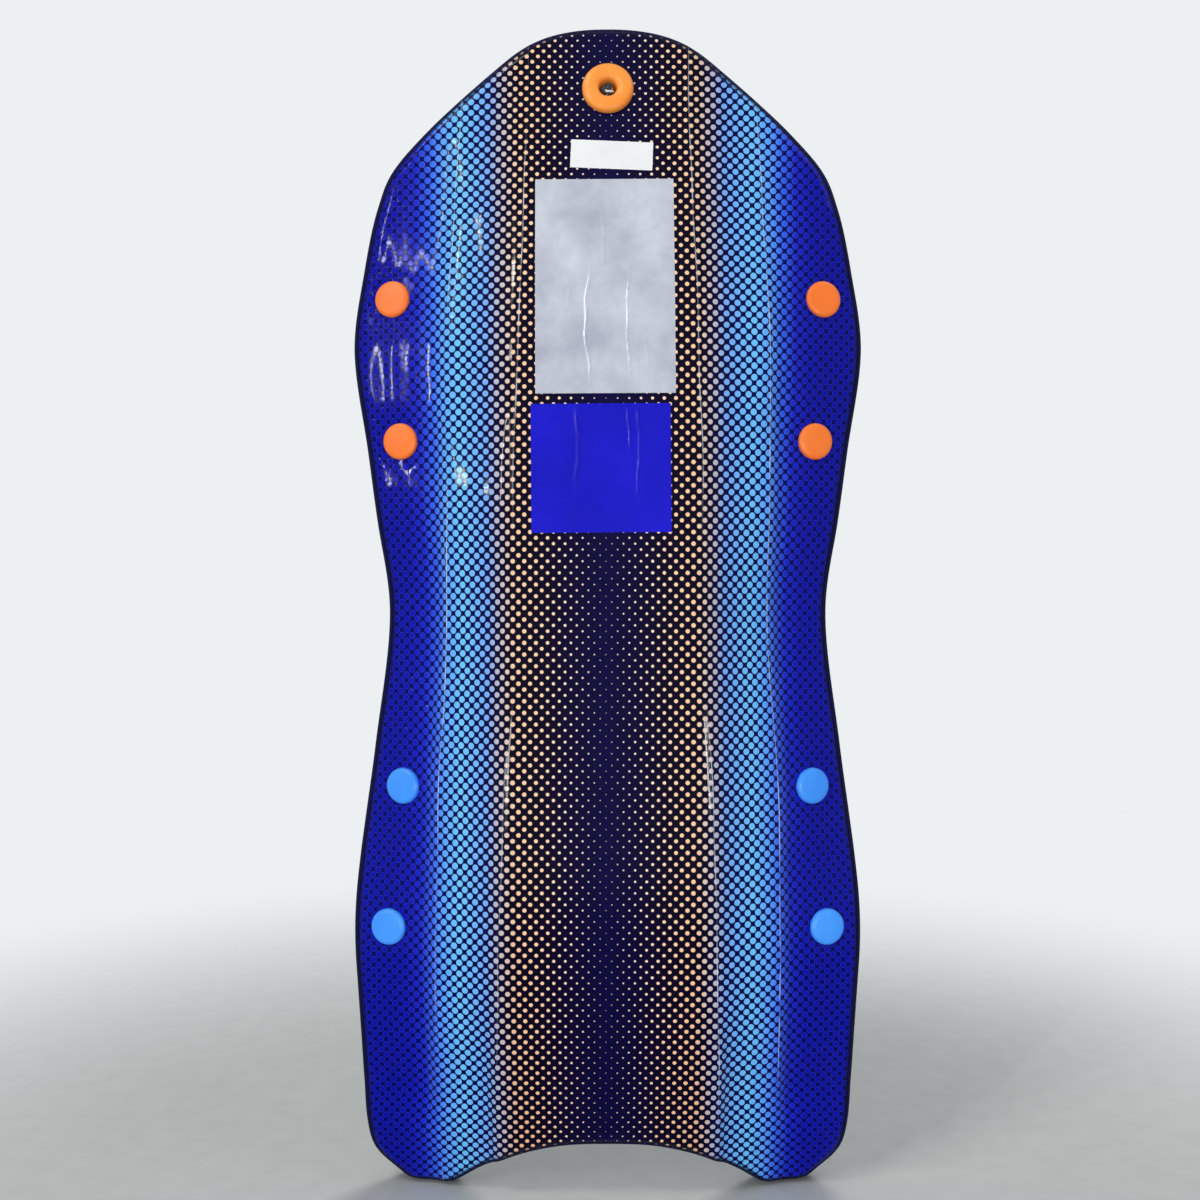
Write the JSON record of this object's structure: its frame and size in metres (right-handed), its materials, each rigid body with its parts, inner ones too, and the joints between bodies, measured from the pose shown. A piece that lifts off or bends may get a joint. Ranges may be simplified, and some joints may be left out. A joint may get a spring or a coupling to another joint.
{
  "type": "sled",
  "caption": "Foam snow sled with a kicked nose and tail, a slick ridged bottom, padded grab handles along both sides and a knotted tow rope.",
  "frame": {"origin": "bottom centre of the box round the sled without its rope and knots: below the two tail lobes that it stands on", "axes": "+Z from the tail to the nose, -Y out of the slick running side, +Y out of the deck with its handles, +X to the left of a rider who lies on the deck head first"},
  "size_m": [0.5526, 0.1422, 1.27],
  "materials": {
    "slick_film": "glossy printed film, halftone dots fading from blue at the sides through azure and peach to navy in the middle",
    "navy_foam": "closed-cell foam, skinned and slightly pebbled",
    "deck_foam": "closed-cell foam sheet with a fine embossed texture",
    "webbing": "woven polypropylene webbing",
    "grip_foam": "soft padded sleeve",
    "orange_plastic": "satin moulded plastic",
    "blue_plastic": "satin moulded plastic",
    "rope": "braided polyester rope, black with white flecks"
  },
  "bodies": {
    "root": {"foam_core": "navy_foam", "slick_bottom": "slick_film", "deck_sheet": "deck_foam", "handle_strap_front_left": "webbing", "handle_grip_front_left": "grip_foam", "bottom_plug_front_left_tailward": "orange_plastic", "deck_disc_front_left_tailward": "orange_plastic", "bottom_plug_front_left_noseward": "orange_plastic", "deck_disc_front_left_noseward": "orange_plastic", "handle_strap_front_right": "webbing", "handle_grip_front_right": "grip_foam", "bottom_plug_front_right_tailward": "orange_plastic", "deck_disc_front_right_tailward": "orange_plastic", "bottom_plug_front_right_noseward": "orange_plastic", "deck_disc_front_right_noseward": "orange_plastic", "handle_strap_rear_left": "webbing", "handle_grip_rear_left": "grip_foam", "bottom_plug_rear_left_tailward": "blue_plastic", "deck_disc_rear_left_tailward": "blue_plastic", "bottom_plug_rear_left_noseward": "blue_plastic", "deck_disc_rear_left_noseward": "blue_plastic", "handle_strap_rear_right": "webbing", "handle_grip_rear_right": "grip_foam", "bottom_plug_rear_right_tailward": "blue_plastic", "deck_disc_rear_right_tailward": "blue_plastic", "bottom_plug_rear_right_noseward": "blue_plastic", "deck_disc_rear_right_noseward": "blue_plastic", "grommet_flange": "orange_plastic", "grommet_cap": "orange_plastic", "rope_stopper_knot": "rope", "tow_rope": "rope", "hand_loop_knot": "rope", "hand_loop": "rope"}
  },
  "joints": []
}
